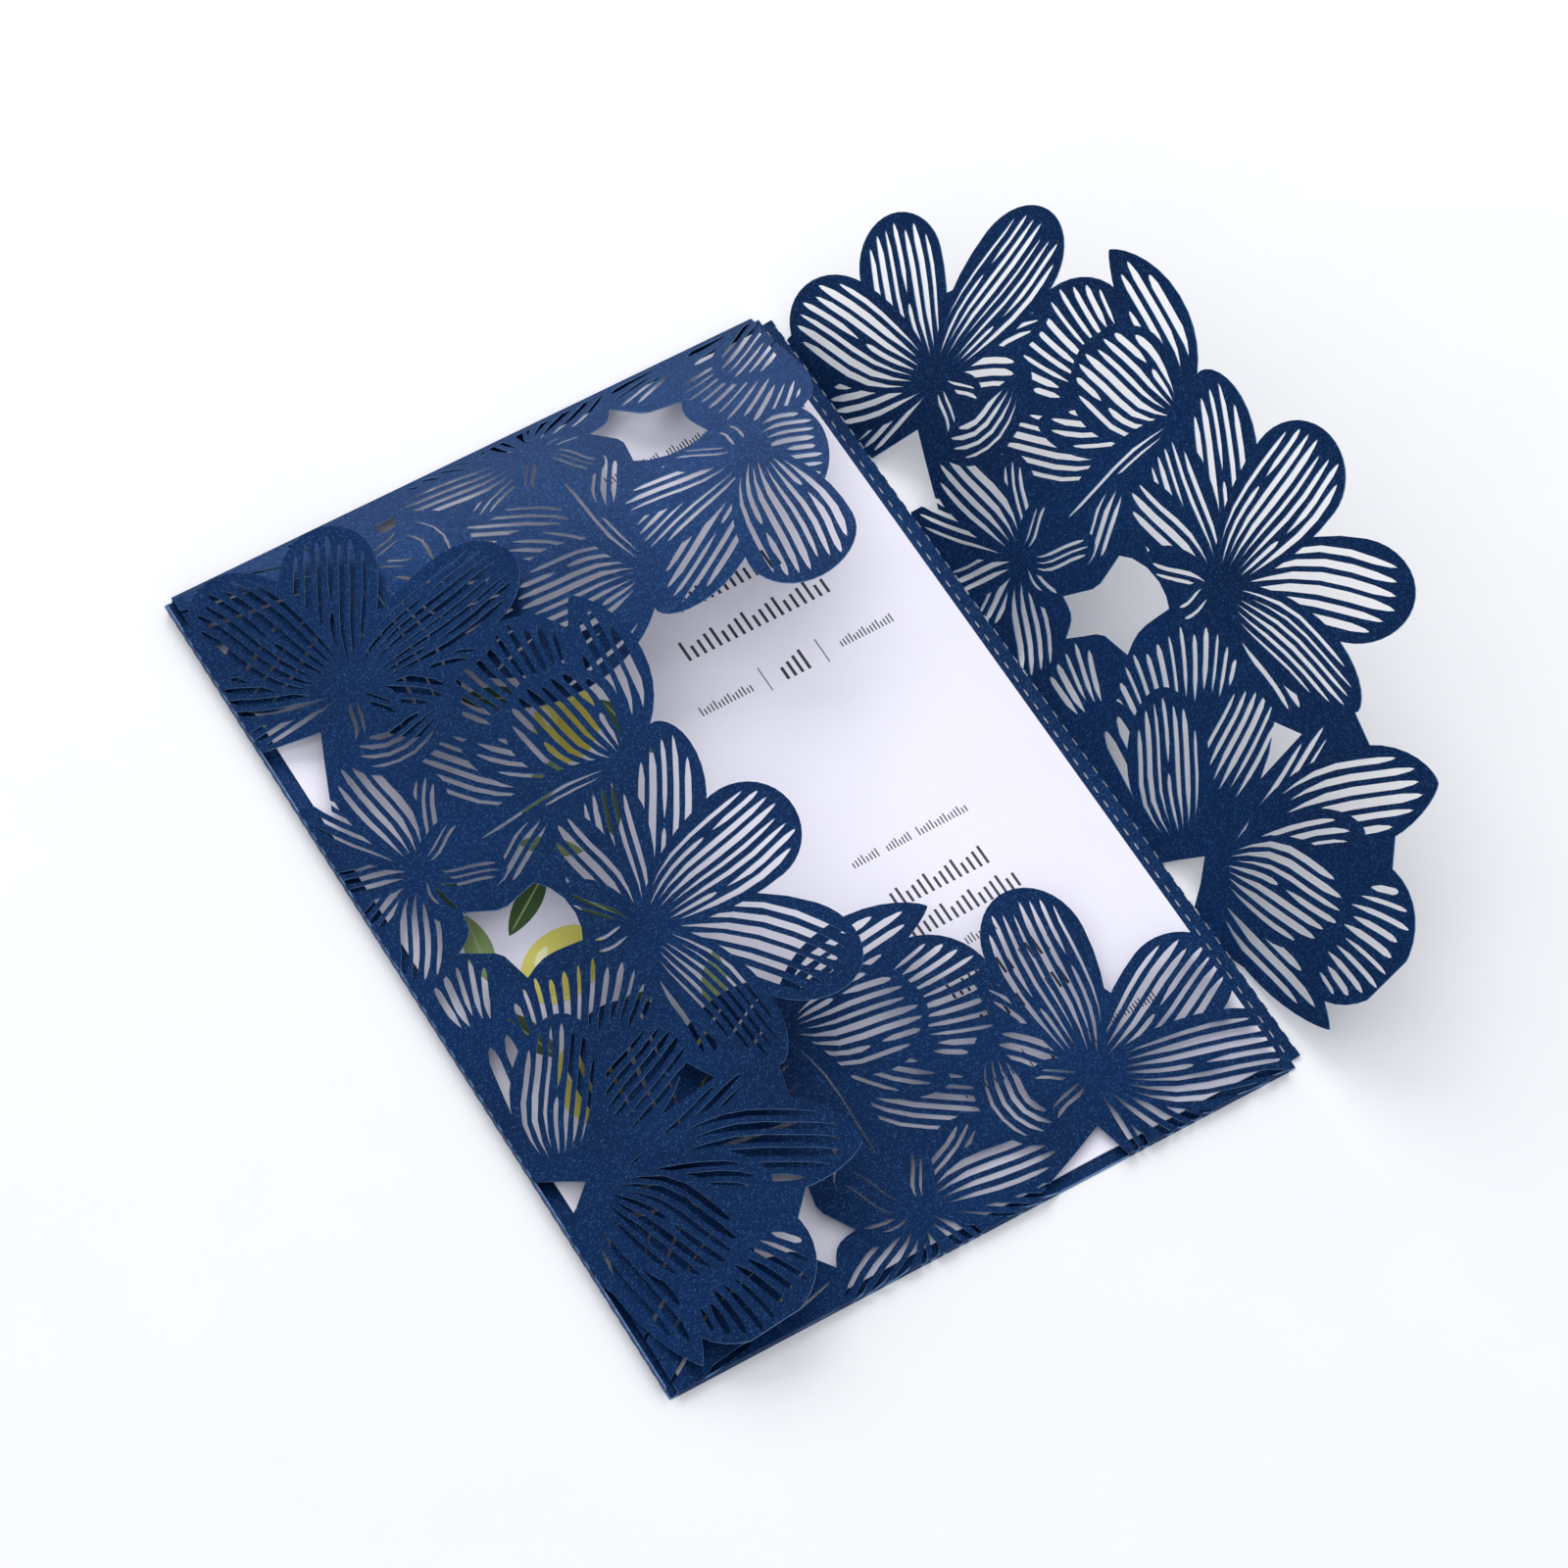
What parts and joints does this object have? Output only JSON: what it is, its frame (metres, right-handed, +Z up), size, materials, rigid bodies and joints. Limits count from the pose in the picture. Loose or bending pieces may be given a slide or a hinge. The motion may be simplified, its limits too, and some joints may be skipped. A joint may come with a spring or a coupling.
{
  "type": "laser-cut wedding invitation card",
  "caption": "Folded invitation cover with floral lace flaps on all sides, three closed over a printed card and one standing open.",
  "frame": {"origin": "middle of the back panel's underside", "axes": "+X towards the flap that stands open, +Y towards the card's top edge, +Z up out of the back panel"},
  "size_m": [0.181, 0.1852, 0.0495],
  "materials": {
    "pearl_card": "navy pearlescent card, fine shimmer",
    "printed_card": "smooth matt white card with dark print"
  },
  "bodies": {
    "root": {"cover": "pearl_card", "insert_card": "printed_card"}
  },
  "joints": []
}
